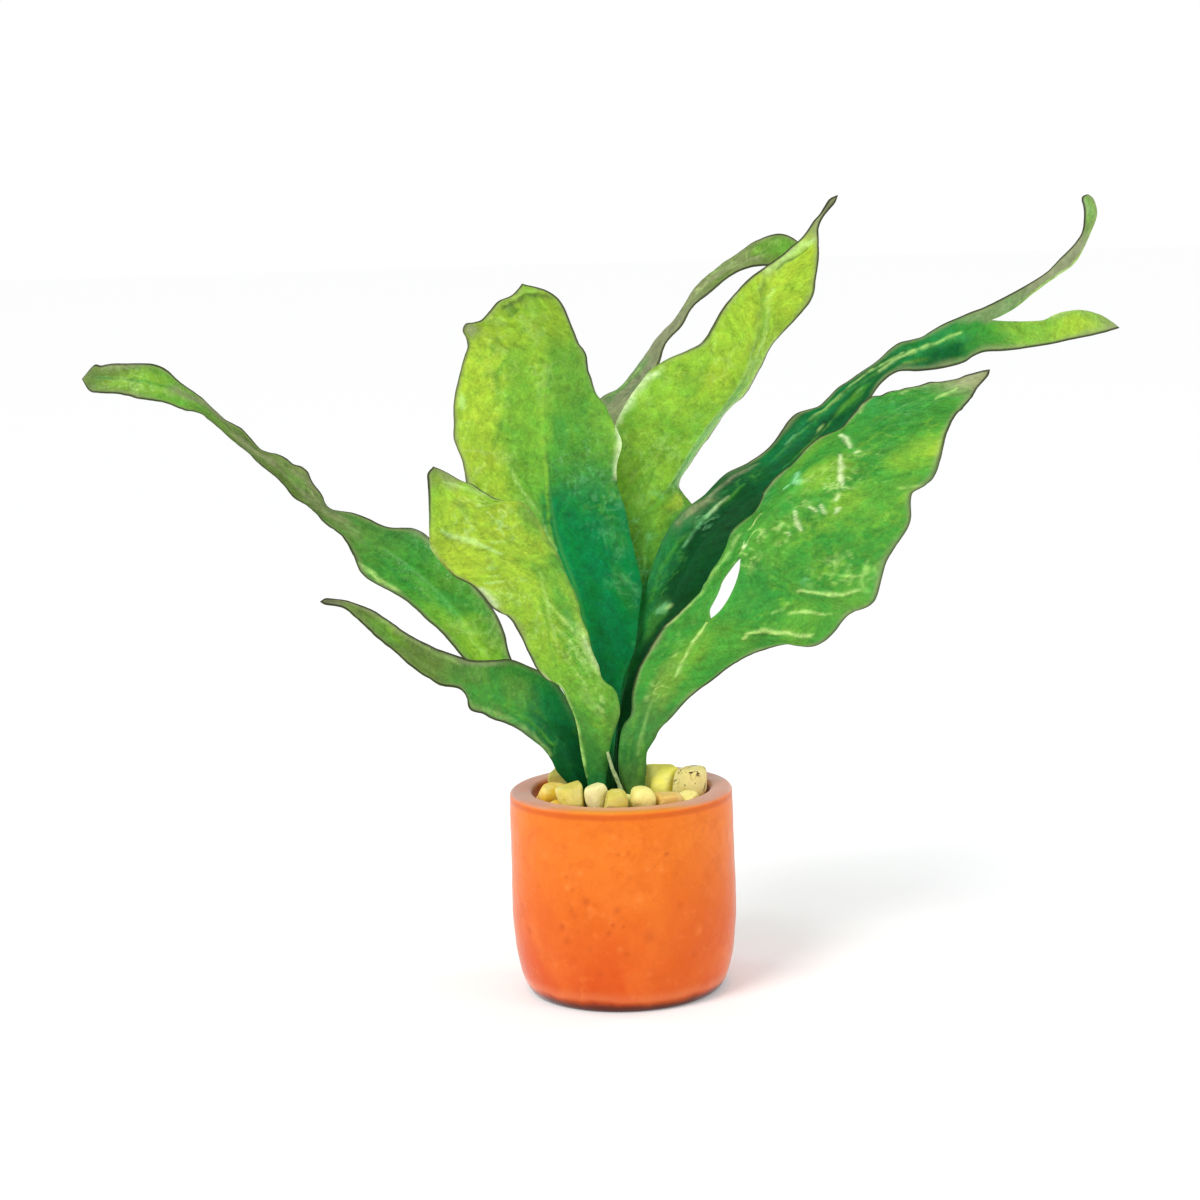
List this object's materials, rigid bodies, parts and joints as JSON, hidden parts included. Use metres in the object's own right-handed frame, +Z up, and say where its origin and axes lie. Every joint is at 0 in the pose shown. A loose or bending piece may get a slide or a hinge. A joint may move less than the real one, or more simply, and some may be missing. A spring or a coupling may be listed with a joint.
{
  "type": "potted microsorum fern",
  "caption": "Strap-leaved microsorum fern with wavy glossy fronds rising from a rhizome in a round terracotta pot topped with pale gravel.",
  "frame": {"origin": "centre of the pot's flat underside", "axes": "+Z up, +X towards the right of the plant along its longest spread, -Y towards its front"},
  "size_m": [0.5818, 0.2299, 0.4246],
  "materials": {
    "terracotta": "matte unglazed",
    "gravel": "matte, chalky, broken faces",
    "potting_mix": "loose, fibrous, matte",
    "rhizome": "scaly, matte",
    "root": "matte",
    "frond": "waxy gloss"
  },
  "bodies": {
    "root": {"pot": "terracotta", "potting_mix": "potting_mix", "rhizome": "rhizome", "aerial_root": "root", "frond_left_long": "frond", "frond_left_low": "frond", "frond_front": "frond", "frond_centre": "frond", "frond_back_right": "frond", "frond_back_strap": "frond", "frond_forked": "frond", "frond_front_right": "frond", "stone_01": "gravel", "stone_02": "gravel", "stone_03": "gravel", "stone_04": "gravel", "stone_05": "gravel", "stone_06": "gravel", "stone_07": "gravel", "stone_08": "gravel", "stone_09": "gravel", "stone_10": "gravel", "stone_11": "gravel", "stone_12": "gravel", "stone_13": "gravel", "stone_14": "gravel", "stone_15": "gravel", "stone_16": "gravel", "stone_17": "gravel", "stone_18": "gravel", "stone_19": "gravel", "stone_20": "gravel", "stone_21": "gravel", "stone_22": "gravel", "stone_23": "gravel", "stone_24": "gravel", "stone_25": "gravel", "stone_26": "gravel", "stone_27": "gravel", "stone_28": "gravel", "stone_29": "gravel", "stone_30": "gravel", "stone_31": "gravel", "stone_32": "gravel", "stone_33": "gravel", "stone_34": "gravel", "stone_35": "gravel", "stone_36": "gravel", "stone_37": "gravel"}
  },
  "joints": []
}
